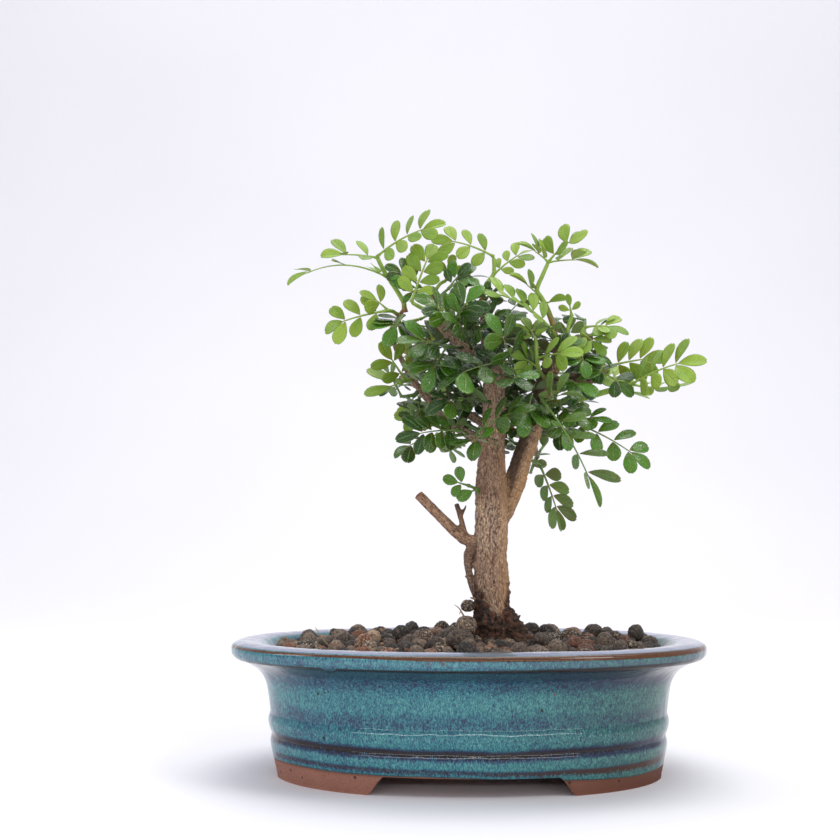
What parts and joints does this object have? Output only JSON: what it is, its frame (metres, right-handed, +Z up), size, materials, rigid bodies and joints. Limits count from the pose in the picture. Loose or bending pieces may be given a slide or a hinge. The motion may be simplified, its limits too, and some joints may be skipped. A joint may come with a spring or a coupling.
{
  "type": "chinese pepper bonsai",
  "caption": "Small chinese pepper bonsai with a forked trunk, cut stubs and feathery leaves, standing in clay balls in an oval blue-green glazed pot with a rolled lip and cut-out feet.",
  "frame": {"origin": "on the table under the middle of the pot", "axes": "+X along the pot, to the right seen from the front; +Y to the back; +Z up"},
  "size_m": [0.155, 0.12, 0.187],
  "materials": {
    "glaze": "gloss, streaked, bare clay at the feet",
    "clay_balls": "matt",
    "bark": "rough bark",
    "drain_mesh": "matt",
    "young_leaf": "soft satin leaf",
    "old_leaf": "glossy leaf"
  },
  "bodies": {
    "root": {"drain_mesh_left": "drain_mesh", "drain_mesh_right": "drain_mesh", "pot": "glaze", "soil": "clay_balls", "spray_back_left_1": "old_leaf", "spray_back_left_2": "old_leaf", "spray_back_left_3": "young_leaf", "spray_back_low_1": "old_leaf", "spray_back_mid_1": "old_leaf", "spray_back_mid_3": "young_leaf", "spray_back_right_1": "old_leaf", "spray_centre_front": "old_leaf", "spray_centre_left": "old_leaf", "spray_centre_low": "old_leaf", "spray_centre_mid": "old_leaf", "spray_centre_upper": "old_leaf", "spray_fork_back": "old_leaf", "spray_fork_front": "old_leaf", "spray_fork_mid": "old_leaf", "spray_front_droop": "old_leaf", "spray_hang_right": "old_leaf", "spray_left_big": "young_leaf", "spray_left_fan": "old_leaf", "spray_left_far": "young_leaf", "spray_left_low_1": "young_leaf", "spray_left_mid": "young_leaf", "spray_left_row": "old_leaf", "spray_long_top": "young_leaf", "spray_right_far": "young_leaf", "spray_right_fork_1": "old_leaf", "spray_right_high": "young_leaf", "spray_right_long": "young_leaf", "spray_right_low": "old_leaf", "spray_right_mid": "young_leaf", "spray_right_up": "young_leaf", "spray_stub_top": "young_leaf", "spray_top_mid": "young_leaf", "spray_top_right": "young_leaf", "spray_trunk_front": "old_leaf", "spray_trunk_left": "old_leaf", "spray_upper_left": "young_leaf", "spray_upper_mid": "young_leaf", "spray_upright": "young_leaf", "trunk": "bark"}
  },
  "joints": []
}
